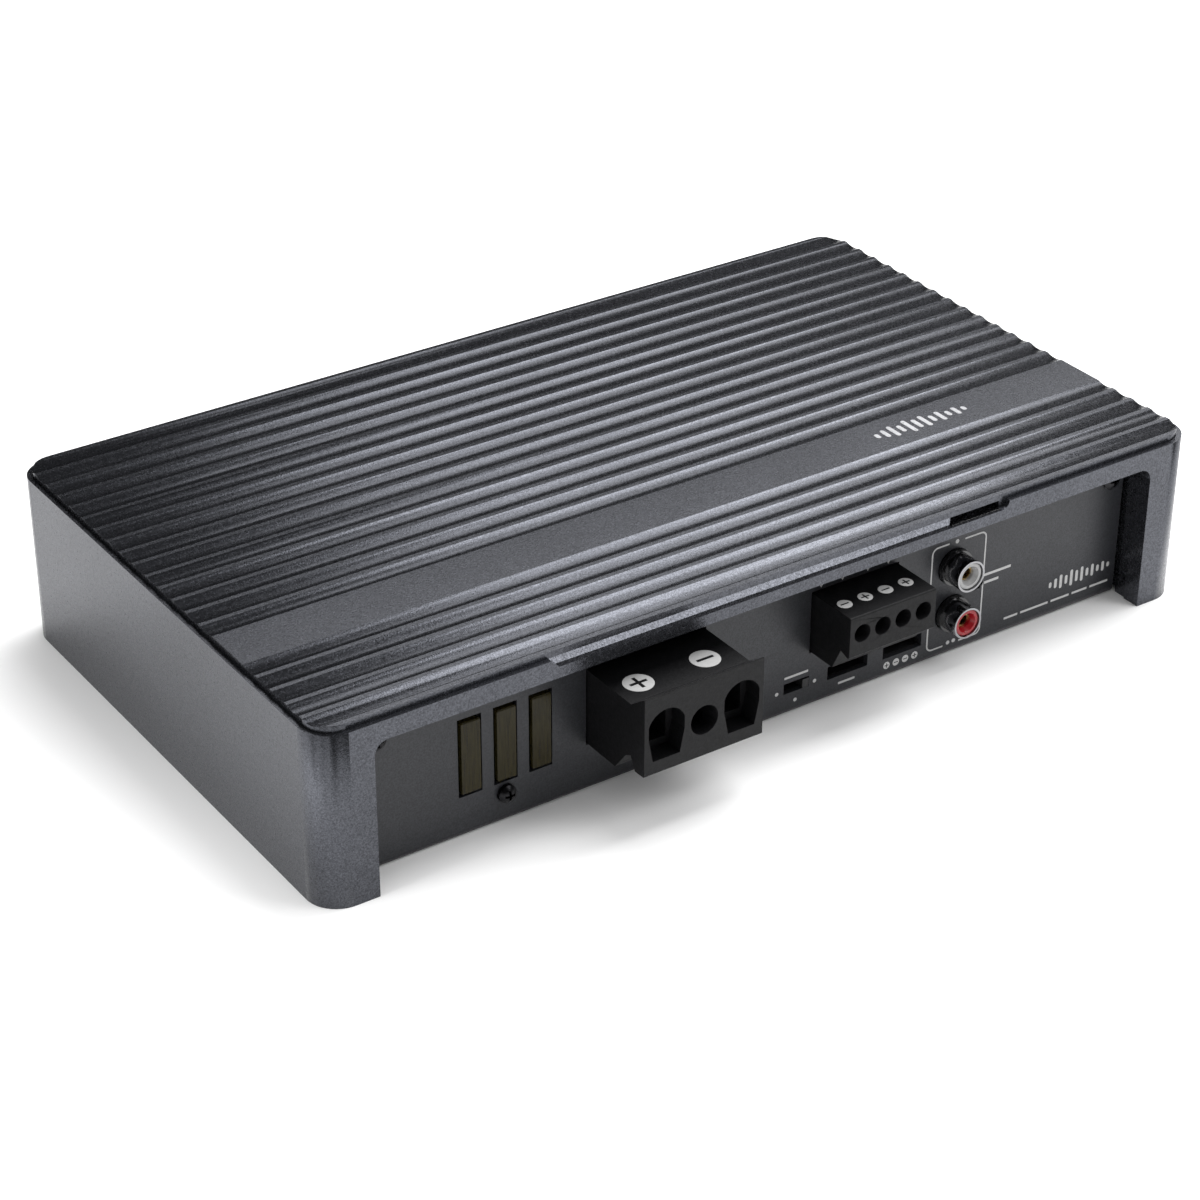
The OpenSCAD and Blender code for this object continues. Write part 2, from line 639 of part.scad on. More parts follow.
// Lift cage: a square frame that travels along the screw
module cage(w, l, z0, z1, floor_t, roof_t, side_t, bore_r) {
    difference() {
        span([-w / 2, -l / 2, z0], [w / 2, l / 2, z1]);
        span([-w / 2 + side_t, -l / 2 - e, z0 + floor_t], [w / 2 - side_t, l / 2 + e, z1 - roof_t]);
        translate([0, 0, z0 - e]) cylinder(h = floor_t + 2 * e, r = bore_r);
    }
}

module power_cage(i) color("#c9ccd0") translate([power_at(i), power_screw_y, 0])
    cage(8.2, 8.2, 18.7, 31.3, 1.8, 1.2, 0.9, 2.05);

module power_screw(i) color("#aeb1b5") translate([power_at(i), power_screw_y, 0]) difference() {
    union() {
        translate([0, 0, 13.2]) cylinder(h = 2.1, r = 2.35);
        translate([0, 0, 15.2]) cylinder(h = 6.6, r = 2);
    }
    translate([-2.5, -0.4, 13.2 - e]) cube([5, 0.8, 1.1 + e]);
}

// ---- speaker connector ---------------------------------------------------

module speaker_header() color("#17181a") difference() {
    w = speaker_w / 2 + 1.2;
    back = speaker_tail + 3;
    union() {
        span([speaker_x - w, behind_panel, speaker_low - 1.2], [speaker_x + w, back, speaker_high + 1.2]);
        span([speaker_x - w, speaker_tail + 0.5, board_top + 6], [speaker_x + w, back, speaker_low]);
        for (x = [[15.6, 17.2], [32, 34.2]])
            span([x[0], speaker_tail + 0.5, on_board], [x[1], back, board_top + 6.1]);
    }
    span([speaker_x - speaker_w / 2 - plug_gap, panel_back - e, speaker_low - plug_gap],
        [speaker_x + speaker_w / 2 + plug_gap, speaker_tail + 0.5, speaker_high + plug_gap]);
    for (i = [0 : 3]) translate([speaker_at(i), speaker_tail, 0])
        span([-1, 0, speaker_bar_z[0] - 0.5], [1, 3.6, speaker_bar_z[1] + 0.8]);
}

// Side outline of the speaker plug, as Y and Z
module speaker_profile() {
    back = panel_y + 1;                       // where the plug narrows to its tongue
    polygon([[speaker_tail, speaker_low + 1.5], [speaker_tail, speaker_high - 1.5],
        [back, speaker_high - 1.5], [back, speaker_high], [speaker_front + 0.3, speaker_high],
        [speaker_front, speaker_high - 0.3], [speaker_front, 21.1], [speaker_front + 0.3, 20.8],
        [-77.2, 20.7], [-74.9, 21.6], [-72, speaker_low], [back, speaker_low], [back, speaker_low + 1.5]]);
}

module speaker_plug_body() color("#202124") difference() {
    translate([speaker_x - speaker_w / 2, 0, 0]) rotate([90, 0, 90])
        linear_extrude(speaker_w) speaker_profile();
    for (i = [0 : 3]) {
        x = speaker_at(i);
        rod_y(x, 26.8, speaker_front - e, speaker_screw_y, 2.3);
        span([x - 2.55, speaker_screw_y - 2.75, 17.6], [x + 2.55, speaker_screw_y + 2.75, 30.9]);
        rod_z(x, speaker_screw_y, speaker_low - e, 18, 1.95);
        span([x - 1.3, speaker_screw_y + 2.6, 21.8], [x + 1.3, speaker_tail + e, 25]);
    }
}

module speaker_plug_contacts() color("#c8a94e") for (i = [0 : 3]) translate([speaker_at(i), 0, 0]) {
    fork_y = speaker_screw_y + 2.6;
    span([-1.6, speaker_screw_y - 2.6, speaker_bar_z[0] - 0.1],
        [1.6, speaker_screw_y + 2.7, speaker_bar_z[1]]);
    span([-1.1, fork_y, speaker_bar_z[0] - 0.6], [1.1, speaker_tail - 0.3, speaker_bar_z[0] + 0.05]);
    span([-1.1, fork_y, speaker_bar_z[1] + 0.25], [1.1, speaker_tail - 0.3, speaker_bar_z[1] + 0.85]);
    span([-1.1, fork_y, speaker_bar_z[0] - 0.6], [1.1, fork_y + 0.6, speaker_bar_z[1] + 0.85]);
}

module speaker_cage(i) color("#c9ccd0") translate([speaker_at(i), speaker_screw_y, 0])
    cage(4.9, 5, 20, 30.7, 1.4, 1, 0.6, 1.3);

module speaker_screw(i) color("#aeb1b5") translate([speaker_at(i), speaker_screw_y, 0]) difference() {
    union() {
        translate([0, 0, 15.9]) cylinder(h = 1.6, r = 1.9);
        translate([0, 0, 17.4]) cylinder(h = 5, r = 1.25);
    }
    translate([-2, -0.3, 15.9 - e]) cube([4, 0.6, 0.8 + e]);
}

// ---- signal inputs -------------------------------------------------------

module rca_block() color("#141517") difference() {
    union() {
        span([rca_x - 6.7, behind_panel, on_board], [rca_x + 11, -50, jacks_z[1] + 6.6]);
        for (z = jacks_z) {
            rod_y(rca_x, z, collar_y, panel_back + 0.2, 4.45);
            rod_y(rca_x, z, collar_y, panel_y - 0.05, collar_d / 2);
        }
    }
    for (z = jacks_z) rod_y(rca_x, z, collar_y - e, jack_end, shank_r + join);
    rod_y(jack_screw[0], jack_screw[1], panel_back, panel_back + 8, thread_r);
}

module rca_sleeves() color("#d8dadd") for (z = jacks_z) difference() {
    union() {
        rod_y(rca_x, z, rca_front, collar_y, rca_d / 2 - join);
        rod_y(rca_x, z, collar_y - join, jack_end, shank_r);
    }
    rod_y(rca_x, z, rca_front - e, jack_end - 1, rca_d / 2 - 0.5);
}

// Insulator: a ring with a cone that leads a plug into the centre contact
module rca_insert(z) {
    r = rca_d / 2 - 0.51;
    translate([rca_x, rca_front + 0.4, z]) rotate([-90, 0, 0]) rotate_extrude()
        polygon([[1.9, 1.2], [2.6, 0], [r - 0.3, 0], [r, 0.3], [r, 12], [1.9, 12]]);
}

module rca_insert_white() color("#e9e9e6") rca_insert(jacks_z[1]);

module rca_insert_red() color("#b3161b") rca_insert(jacks_z[0]);

module rca_contacts() color("#c8cacd") for (z = jacks_z) difference() {
    rod_y(rca_x, z, rca_front + 2.4, jack_end - 1.5, 1.88);
    rod_y(rca_x, z, rca_front, jack_end - 4, 1.5);
}

module sense_switch_case() color("#1a1b1d") difference() {
    span([switch_slot[0] - 2.4, behind_panel, on_board], [switch_slot[1] + 2.4, panel_back + 8, 10.6]);
    span([switch_slot[0] - 0.3, panel_back - e, switch_slot[2] - 0.1],
        [switch_slot[1] + 0.3, panel_back + 5, switch_slot[3] + 0.2]);
}

module sense_switch_slider() color("#0f1011") translate([slider_x, 0, 0]) {
    span([-slider_w / 2, panel_y - 0.3, 6.35], [slider_w / 2, panel_back + 2, 8.8]);
    span([-1.1, panel_back + 1.9, 6.35], [1.1, panel_back + 4.7, 8.8]);
}

module socket_shell(s) {
    difference() {
        span([s[0] - 1, behind_panel, on_board], [s[1] + 1, panel_back + socket_l, socket_top]);
        span([s[0] + 0.1, panel_back - e, s[2] + 0.1], [s[1] - 0.1, panel_back + socket_l - 1.8, s[3] - 0.1]);
    }
}

module input_sockets() color("#1a1b1d") {
    difference() {
        socket_shell(remote_slot);
        for (x = remote_pins) span([x - 0.5, panel_back + 6, 7], [x + 0.5, panel_back + 10, 8]);
    }
    difference() {
        socket_shell(high_level_slot);
        for (x = high_level_pins) span([x - 0.3, panel_back + 6, 6.9], [x + 0.3, panel_back + 10, 7.5]);
    }
    // guide ribs under the four-way socket's top
    for (x = high_level_pins) translate([x - 0.25, panel_back + 0.3, high_level_slot[3] - 0.8])
        cube([0.5, 2.7, 0.75]);
}

// ---- status light --------------------------------------------------------

module status_lens() color("#08090a") span([lens_x[0] + 0.05, front + 0.65, bevel_z - 0.55],
    [lens_x[1] - 0.05, front + window_depth - 0.05, bevel_z + 0.25]);

module status_light_strip() color("#e8e8e0") {
    span([lens_x[0] + 0.3, front + 1.2, bevel_z - 1.19],
        [lens_x[1] - 0.3, front + window_depth - 0.6, bevel_z - 0.9]);
    for (k = [0 : 3]) translate([50 + k * 3.2, front + 1.6, bevel_z - 0.91]) cube([1.8, 1.2, 0.33]);
}

// ---- rear controls -------------------------------------------------------

module control_pots() color("#2b4d8c") for (x = pot_x) translate([x, 0, 0]) difference() {
    union() {
        span([-6, rear_back - 7, 9], [6, rear_back - 0.1, pot_z + 6]);
        rod_y(0, pot_z, rear_back - 1, rear_y - 0.1, pot_bush_r);
        for (k = [-1 : 1]) translate([k * 4, 0, 0])
            span([-0.4, rear_back - 6, on_board], [0.4, rear_back - 5.4, 9.1]);
    }
    rod_y(0, pot_z, rear_back - 6, rear_y + e, pot_shaft_r + 0.05);
}

// Knob with a knurled rim, a pointer slot and a shaft
module knob(x) {
    knob_r = 4.2;
    notches = 18;
    translate([x, rear_y, pot_z]) rotate([-90, 0, 0]) difference() {
        union() {
            translate([0, 0, 0.4]) cylinder(h = 5.6, r = knob_r);
            translate([0, 0, -7]) cylinder(h = 7.5, r = pot_shaft_r);
        }
        for (k = [0 : notches - 1]) rotate(k * 360 / notches)
            translate([knob_r + 0.15, 0, 1.2]) cylinder(h = 6, r = 0.45);
        translate([-0.4, -knob_r - e, 5.2]) cube([0.8, knob_r + e, 2]);
    }
}

module level_knob() color("#161719") knob(pot_x[0]);

module filter_knob() color("#161719") knob(pot_x[1]);

module bass_knob() color("#161719") knob(pot_x[2]);

heatsink_housing();
chassis_tray();
rear_panel();
base_screws();
panel_screws();
main_board();
board_standoffs();
board_screws();
power_transistors();
thermal_pads();
clamp_bars();
choke_cores();
choke_windings();
input_capacitors();
output_capacitors();
driver_board();
driver_chips();
fuse_block();
fuse_clips();
fuse_body(0);  // fuse_1_body
fuse_body(1);  // fuse_2_body
fuse_body(2);  // fuse_3_body
fuse_blades(0);  // fuse_1_blades
fuse_blades(1);  // fuse_2_blades
fuse_blades(2);  // fuse_3_blades
power_header();
header_pins();
power_plug_body();
power_plug_contacts();
power_cage(0);  // power_cage_1
power_cage(1);  // power_cage_2
power_cage(2);  // power_cage_3
power_screw(0);  // power_screw_1
power_screw(1);  // power_screw_2
power_screw(2);  // power_screw_3
speaker_header();
speaker_plug_body();
speaker_plug_contacts();
speaker_cage(0);  // speaker_cage_1
speaker_cage(1);  // speaker_cage_2
speaker_cage(2);  // speaker_cage_3
speaker_cage(3);  // speaker_cage_4
speaker_screw(0);  // speaker_screw_1
speaker_screw(1);  // speaker_screw_2
speaker_screw(2);  // speaker_screw_3
speaker_screw(3);  // speaker_screw_4
rca_block();
rca_sleeves();
rca_contacts();
rca_insert_white();
rca_insert_red();
sense_switch_case();
sense_switch_slider();
input_sockets();
status_lens();
status_light_strip();
control_pots();
level_knob();
filter_knob();
bass_knob();
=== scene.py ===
import json
import math

import bmesh
import bpy
from mathutils import Matrix, Vector


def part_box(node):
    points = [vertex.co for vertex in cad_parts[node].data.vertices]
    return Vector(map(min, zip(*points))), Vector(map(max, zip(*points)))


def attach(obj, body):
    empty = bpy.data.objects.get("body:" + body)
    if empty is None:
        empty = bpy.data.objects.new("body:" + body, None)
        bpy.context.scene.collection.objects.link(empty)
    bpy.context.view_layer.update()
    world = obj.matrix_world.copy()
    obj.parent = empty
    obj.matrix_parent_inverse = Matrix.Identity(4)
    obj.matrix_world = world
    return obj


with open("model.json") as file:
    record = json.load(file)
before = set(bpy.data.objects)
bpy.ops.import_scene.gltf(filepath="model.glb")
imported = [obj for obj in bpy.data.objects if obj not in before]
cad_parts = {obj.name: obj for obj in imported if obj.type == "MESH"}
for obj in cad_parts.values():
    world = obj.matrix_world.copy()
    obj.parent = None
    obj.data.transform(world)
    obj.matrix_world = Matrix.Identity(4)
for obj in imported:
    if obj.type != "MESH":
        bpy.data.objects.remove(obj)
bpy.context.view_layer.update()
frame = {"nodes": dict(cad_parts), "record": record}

# Looks of the car amplifier: finishes, printed marks, floor, lights and camera.
# The model's lengths are millimetres here, and MM turns them into metres. The studio is in metres.

MM = 0.001

# ---- measures of the model ------------------------------------------------------

housing_low, housing_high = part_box("heatsink_housing")
_, rear_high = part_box("rear_panel")
_, speaker_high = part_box("speaker_plug_body")

PANEL_Y = -63.7                        # face of the front panel
REAR_Y = rear_high.y / MM              # face of the rear panel
DECK_Z = housing_high.z / MM           # plain band between the flutes
BAND_Y = -31.36                        # middle of the plain band
POWER_TOP_Z = 32.7                     # top of the power plug
SPEAKER_TOP_Z = speaker_high.z / MM    # top of the speaker plug
SPEAKER_MIDDLE_X = 25.8
SPEAKER_PITCH = 6.08
SPEAKER_X = [SPEAKER_MIDDLE_X + (k - 1.5) * SPEAKER_PITCH for k in range(4)]
KNOB_X = (-60, -30, 0)
KNOB_Z = 20


# ---- materials ---------------------------------------------------------------

class Nodes:
    """A material's node tree with short calls for the nodes used here."""

    def __init__(self, name):
        old = bpy.data.materials.get(name)
        if old:
            old.name = name + "_plain"
        self.material = bpy.data.materials.new(name)
        self.material.use_nodes = True
        self.tree = self.material.node_tree
        self.shader = self.tree.nodes["Principled BSDF"]
        self.place = self.tree.nodes.new("ShaderNodeTexCoord").outputs["Object"]

    def link(self, source, target):
        self.tree.links.new(source, target)

    def stretched(self, scale):
        mapping = self.tree.nodes.new("ShaderNodeMapping")
        mapping.inputs["Scale"].default_value = scale
        self.link(self.place, mapping.inputs["Vector"])
        return mapping.outputs["Vector"]

    def noise(self, size, detail=2.0, place=None):
        """Noise whose blobs are about size millimetres across."""
        node = self.tree.nodes.new("ShaderNodeTexNoise")
        node.inputs["Scale"].default_value = 1 / (size * MM)
        node.inputs["Detail"].default_value = detail
        node.inputs["Roughness"].default_value = 0.5
        self.link(place or self.place, node.inputs["Vector"])
        return node.outputs["Fac"]

    def cells(self, size):
        node = self.tree.nodes.new("ShaderNodeTexVoronoi")
        node.feature = "DISTANCE_TO_EDGE"
        node.inputs["Scale"].default_value = 1 / (size * MM)
        self.link(self.place, node.inputs["Vector"])
        return node.outputs["Distance"]

    def spread(self, source, low, high, start=0.3, end=0.7):
        """source between start and end, mapped to low and high."""
        node = self.tree.nodes.new("ShaderNodeMapRange")
        limits = {"From Min": start, "From Max": end, "To Min": low, "To Max": high}
        for socket, value in limits.items():
            node.inputs[socket].default_value = value
        self.link(source, node.inputs["Value"])
        return node.outputs["Result"]

    def tint(self, factor, dark, light):
        node = self.tree.nodes.new("ShaderNodeMix")
        node.data_type = "RGBA"
        node.inputs["A"].default_value = (*dark, 1)
        node.inputs["B"].default_value = (*light, 1)
        self.link(factor, node.inputs["Factor"])
        return node.outputs["Result"]

    def times(self, first, second):
        node = self.tree.nodes.new("ShaderNodeMix")
        node.data_type = "RGBA"
        node.blend_type = "MULTIPLY"
        node.inputs["Factor"].default_value = 1.0
        self.link(first, node.inputs["A"])
        self.link(second, node.inputs["B"])
        return node.outputs["Result"]

    def bump(self, height, depth):
        """Bumps depth millimetres deep."""
        node = self.tree.nodes.new("ShaderNodeBump")
        node.inputs["Distance"].default_value = depth * MM
        self.link(height, node.inputs["Height"])
        return node.outputs["Normal"]

    def set(self, **values):
        for name, value in values.items():
            self.shader.inputs[name.replace("_", " ")].default_value = value


def shade(color, factor):
    return tuple(c * factor for c in color)


def grained(name, color, grain, contrast, depth, rough, metallic=0.0, **more):
    """A coat or moulding with a fine grain; grain and depth are its size and bumps in mm."""
    n = Nodes(name)
    fine = n.noise(grain, detail=3)
    broad = n.noise(34, detail=2)
    speck = n.tint(n.spread(fine, 0, 1), shade(color, 1 - contrast), shade(color, 1 + contrast))
    tone = n.tint(n.spread(broad, 0, 1), (0.88, 0.88, 0.88), (1, 1, 1))
    n.link(n.times(speck, tone), n.shader.inputs["Base Color"])
    n.link(n.spread(n.noise(grain * 2.3), rough - 0.05, rough + 0.05), n.shader.inputs["Roughness"])
    n.link(n.bump(fine, depth), n.shader.inputs["Normal"])
    n.set(Metallic=metallic, **more)
    return n.material


def drawn_metal(name, color, rough, along=(1, 1, 14), depth=0.006):
    """Bare or plated metal with faint drawing marks."""
    n = Nodes(name)
    streak = n.noise(0.5, detail=4, place=n.stretched(along))
    stain = n.noise(5, detail=3)
    base = n.tint(n.spread(stain, 0, 1), shade(color, 0.86), color)
    n.link(base, n.shader.inputs["Base Color"])
    n.link(n.spread(streak, rough - 0.06, rough + 0.1), n.shader.inputs["Roughness"])
    n.link(n.bump(streak, depth), n.shader.inputs["Normal"])
    n.set(Metallic=1.0)
    return n.material


def clear_amber():
    """Tinted clear fuse plastic with faint flow lines."""
    n = Nodes("fuse_amber")
    flow = n.noise(0.9, detail=3, place=n.stretched((2.2, 1, 0.16)))
    base = n.tint(n.spread(flow, 0, 1), (0.013, 0.0105, 0.0032), (0.026, 0.0212, 0.0065))
    n.link(base, n.shader.inputs["Base Color"])
    n.link(n.spread(n.noise(0.7), 0.12, 0.26), n.shader.inputs["Roughness"])
    n.link(n.bump(flow, 0.03), n.shader.inputs["Normal"])
    n.set(Transmission_Weight=0.1, IOR=1.5, Specular_IOR_Level=0.12)
    return n.material


def circuit_board():
    """Solder mask with copper areas and traces showing through it."""
    n = Nodes("board_green")
    edge = n.spread(n.cells(9), 1, 0, 0.03, 0.05)
    grain = n.noise(0.8, detail=2)
    mask = n.tint(edge, (0.018, 0.10, 0.045), (0.012, 0.065, 0.03))
    tone = n.tint(n.spread(grain, 0, 1), (0.85, 0.85, 0.85), (1, 1, 1))
    n.link(n.times(mask, tone), n.shader.inputs["Base Color"])
    n.link(n.spread(grain, 0.28, 0.4), n.shader.inputs["Roughness"])
    n.link(n.bump(edge, 0.04), n.shader.inputs["Normal"])
    return n.material


def enamelled_wire():
    n = Nodes("copper_wire")
    tone = n.noise(3, detail=3)
    base = n.tint(n.spread(tone, 0, 1), (0.36, 0.12, 0.035), (0.62, 0.26, 0.08))
    n.link(base, n.shader.inputs["Base Color"])
    n.link(n.spread(n.noise(1), 0.2, 0.34), n.shader.inputs["Roughness"])
    n.link(n.bump(n.noise(0.8, detail=3), 0.02), n.shader.inputs["Normal"])
    n.set(Metallic=0.9, Coat_Weight=0.5, Coat_Roughness=0.15)
    return n.material


def make_materials():
    """One finish per material slot of the record."""
    made = [
        grained("housing_coat", (0.076, 0.079, 0.090), 0.36, 0.4, 0.03, 0.25, metallic=0.9),
        grained("panel_coat", (0.024, 0.025, 0.029), 0.4, 0.35, 0.02, 0.4, metallic=0.3),
        grained("plug_black", (0.005, 0.005, 0.0058), 0.45, 0.45, 0.035, 0.5, Specular_IOR_Level=0.18),
        grained("socket_black", (0.008, 0.008, 0.009), 0.5, 0.25, 0.02, 0.45),
        grained("epoxy_black", (0.018, 0.018, 0.019), 0.35, 0.25, 0.03, 0.55),
        grained("gap_pad", (0.5, 0.48, 0.42), 0.8, 0.08, 0.04, 0.75),
        grained("core_green", (0.09, 0.14, 0.045), 0.7, 0.14, 0.04, 0.42),
        grained("can_blue", (0.028, 0.032, 0.13), 1.2, 0.08, 0.01, 0.24, Coat_Weight=0.4),
        grained("can_black", (0.014, 0.014, 0.016), 1.2, 0.1, 0.01, 0.24, Coat_Weight=0.4),
        grained("pot_blue", (0.03, 0.08, 0.3), 0.6, 0.12, 0.02, 0.45),
        grained("knob_black", (0.012, 0.012, 0.013), 0.4, 0.25, 0.02, 0.42),
        grained("rca_black", (0.007, 0.007, 0.0075), 1.5, 0.15, 0.008, 0.16, Coat_Weight=0.5),
        grained("insert_white", (0.3, 0.3, 0.3), 1.5, 0.06, 0.01, 0.26),
        grained("insert_red", (0.26, 0.006, 0.011), 1.5, 0.1, 0.01, 0.24),
        grained("window_black", (0.004, 0.004, 0.0045), 3.0, 0.1, 0.004, 0.08, Coat_Weight=1.0),
        grained("light_white", (0.42, 0.42, 0.42), 0.5, 0.05, 0.01, 0.5),
        drawn_metal("black_steel", (0.03, 0.03, 0.032), 0.36),
        drawn_metal("bright_steel", (0.58, 0.58, 0.6), 0.3),
        drawn_metal("bare_aluminium", (0.62, 0.63, 0.64), 0.34, along=(14, 1, 1)),
        drawn_metal("brass", (0.72, 0.52, 0.22), 0.28),
        drawn_metal("tinned_copper", (0.7, 0.66, 0.58), 0.32),
        drawn_metal("chrome", (0.3, 0.3, 0.31), 0.14, depth=0.002),
        clear_amber(),
        circuit_board(),
        enamelled_wire(),
    ]
    return {m.name: m for m in made}


MATERIALS = make_materials()


def dress_nodes():
    """Gives every CAD node the finish of its slot in the record."""
    for part in frame["record"]["subparts"]:
        node = frame["nodes"][part["node"]]
        material = MATERIALS[part["material_slot"]]
        if not node.material_slots:
            node.data.materials.append(material)
        for place in node.material_slots:
            place.material = material


# Gentler edges than this, in degrees, stay as they are
EDGE_ANGLE = 32
# Rounding of each node's edges, in millimetres
EDGES = {
    "heatsink_housing": 0.25,
    "chassis_tray": 0.12,
    "rear_panel": 0.12,
    "power_plug_body": 0.2,
    "speaker_plug_body": 0.16,
    "fuse_1_body": 0.7,
    "fuse_2_body": 0.7,
    "fuse_3_body": 0.7,
    "sense_switch_slider": 0.15,
    "status_lens": 0.1,
    "rca_block": 0.12,
    "rca_sleeves": 0.08,
    "level_knob": 0.15,
    "filter_knob": 0.15,
    "bass_knob": 0.15,
}


def round_edges():
    for name, width in EDGES.items():
        node = frame["nodes"][name]
        weld = node.modifiers.new("weld", "WELD")
        weld.merge_threshold = 0.001 * MM
        bevel = node.modifiers.new("bevel", "BEVEL")
        bevel.width = width * MM
        bevel.segments = 2
        bevel.limit_method = "ANGLE"
        bevel.angle_limit = math.radians(EDGE_ANGLE)
        bevel.harden_normals = True


# ---- flat marks ---------------------------------------------------------------

def disc(x, y, r, steps=40):
    """Outline of a round mark."""
    angles = [2 * math.pi * k / steps for k in range(steps)]
    return [(x + r * math.cos(a), y + r * math.sin(a)) for a in angles]


def bar(x, y, w, h):
    """Outline of a bar centred on x, y."""
    left, right, bottom, top = x - w / 2, x + w / 2, y - h / 2, y + h / 2
    return [(left, bottom), (right, bottom), (right, top), (left, top)]


def arc(x, y, r, start, end, steps=10):
    """Points of an arc, with its angles in degrees."""
    angles = [math.radians(start + (end - start) * k / steps) for k in range(steps + 1)]
    return [(x + r * math.cos(a), y + r * math.sin(a)) for a in angles]


def pill(x, y, w, h):
    """Outline of an upright bar with round ends."""
    r = w / 2
    return arc(x, y + h / 2 - r, r, 0, 180, 8) + arc(x, y - h / 2 + r, r, 180, 360, 8)


def stroke(path, width):
    """Outlines of the short pieces of a line width millimetres wide, mitred at its corners."""
    points = [Vector(p) for p in path]
    sides = []
    for k, point in enumerate(points):
        ways = []
        if k:
            ways.append((point - points[k - 1]).normalized())
        if k + 1 < len(points):
            ways.append((points[k + 1] - point).normalized())
        normals = [Vector((-w.y, w.x)) for w in ways]
        middle = sum(normals, Vector((0, 0))).normalized()
        reach = width / 2 / max(middle.dot(normals[0]), 0.3)
        sides.append((point + middle * reach, point - middle * reach))
    pieces = []
    for here, there in zip(sides, sides[1:]):
        pieces.append([tuple(here[0]), tuple(here[1]), tuple(there[1]), tuple(there[0])])
    return pieces


class Face:
    """A flat face that marks are laid on: a point on it, and its right and up directions."""

    def __init__(self, at, right, up):
        self.at, self.right, self.up = Vector(at), Vector(right), Vector(up)
        self.out = self.right.cross(self.up)

    def point(self, x, y, lift):
        return (self.at + self.right * x + self.up * y + self.out * lift) * MM


TOP_BAND = Face((0, 0, DECK_Z), (1, 0, 0), (0, 1, 0))
FRONT_PANEL = Face((0, PANEL_Y, 0), (1, 0, 0), (0, 0, 1))
REAR_PANEL = Face((0, REAR_Y, 0), (-1, 0, 0), (0, 0, 1))
POWER_TOP = Face((0, 0, POWER_TOP_Z), (1, 0, 0), (0, 1, 0))
SPEAKER_TOP = Face((0, 0, SPEAKER_TOP_Z), (1, 0, 0), (0, 1, 0))


def mark(name, outlines, face, material, body, low=-0.02, high=0.04, soft=0.0):
    """Thin raised marks from low to high millimetres over a face; soft is the bevel of their edges."""
    mesh = bpy.data.meshes.new(name)
    shape = bmesh.new()
    for outline in outlines:
        ring = [shape.verts.new(face.point(x, y, low)) for x, y in outline]
        shape.faces.new(ring)
    bmesh.ops.remove_doubles(shape, verts=shape.verts, dist=0.0005 * MM)
    bottoms = shape.faces[:]
    grown = bmesh.ops.extrude_face_region(shape, geom=bottoms)
    tops = [v for v in grown["geom"] if isinstance(v, bmesh.types.BMVert)]
    bmesh.ops.translate(shape, verts=tops, vec=face.out * (high - low) * MM)
    bmesh.ops.recalc_face_normals(shape, faces=shape.faces)
    shape.to_mesh(mesh)
    shape.free()
    piece = bpy.data.objects.new(name, mesh)
    bpy.context.collection.objects.link(piece)
    mesh.materials.append(MATERIALS[material])
    if soft:
        bevel = piece.modifiers.new("bevel", "BEVEL")
        bevel.width = soft * MM
        bevel.segments = 2
    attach(piece, body)


def plus(x, y, length, width):
    """Outlines of a plus sign."""
    arm = (length - width) / 2
    upright = [bar(x, y + side * (width + arm) / 2, width, arm) for side in (-1, 1)]
    return [bar(x, y, length, width)] + upright


def minus(x, y, length, width):
    """Outline of a minus sign."""
    return [bar(x, y, length, width)]


def polarity(name, face, x, y, r, sign, body, high):
    """White disc with a black sign on it."""
    mark(f"{name}_disc", [disc(x, y, r)], face, "light_white", body, high=high, soft=high * 0.35)
    length, width = r * 1.25, r * 0.23
    signs = sign(x, y, length, width)
    mark(f"{name}_sign", signs, face, "plug_black", body, low=high / 2, high=high + 0.03)


def polarity_marks():
    """Marks on the tops of the two plugs."""
    y, r, thick = -74.6, 3.65, 0.1
    for label, x, sign in (("plus", -44.4, plus), ("minus", -26.1, minus)):
        polarity(f"power_{label}", POWER_TOP, x, y, r, sign, "power_plug", thick)
    y, r = -71.8, 1.85
    for k, sign in enumerate((minus, plus, minus, plus)):
        x = SPEAKER_X[k] - 0.6
        polarity(f"speaker_{k + 1}", SPEAKER_TOP, x, y, r, sign, "speaker_plug", thick)


def printed(name, outlines):
    """White print on the front panel."""
    mark(name, outlines, FRONT_PANEL, "light_white", "amplifier")


def input_frame():
    """Printed line round the two jacks, open in the middle of its top and bottom."""
    left, right, bottom, top, r, line = 49.3, 66.1, 3.1, 31.9, 1.6, 0.42
    gap = (54.4, 59.4)
    half_left = [(gap[0], bottom)] + arc(left + r, bottom + r, r, 270, 180)
    half_left += arc(left + r, top - r, r, 180, 90) + [(gap[0], top)]
    half_right = [(gap[1], bottom)] + arc(right - r, bottom + r, r, -90, 0)
    half_right += arc(right - r, top - r, r, 0, 90) + [(gap[1], top)]
    printed("input_frame_left", stroke(half_left, line))
    printed("input_frame_right", stroke(half_right, line))
    middle, dot, steps = (gap[0] + gap[1]) / 2, 0.55, 20
    printed("channel_one_dot", [disc(middle, top, dot, steps)])
    pair = [disc(middle + side * 0.9, bottom + 0.5, dot, steps) for side in (-1, 1)]
    printed("channel_two_dots", pair)


def socket_marks():
    """Four small polarity rings under the four-way socket and a triangle over the two-way socket."""
    first, pitch, z, r, thick = 36.8, 2.9, 3.6, 0.98, 0.04
    for k, sign in enumerate((plus, minus, minus, plus)):
        polarity(f"socket_{k + 1}", FRONT_PANEL, first + k * pitch, z, r, sign, "amplifier", thick)
    printed("socket_triangle", [[(19.7, 9.6), (24.4, 9.6), (22.05, 12.6)]])


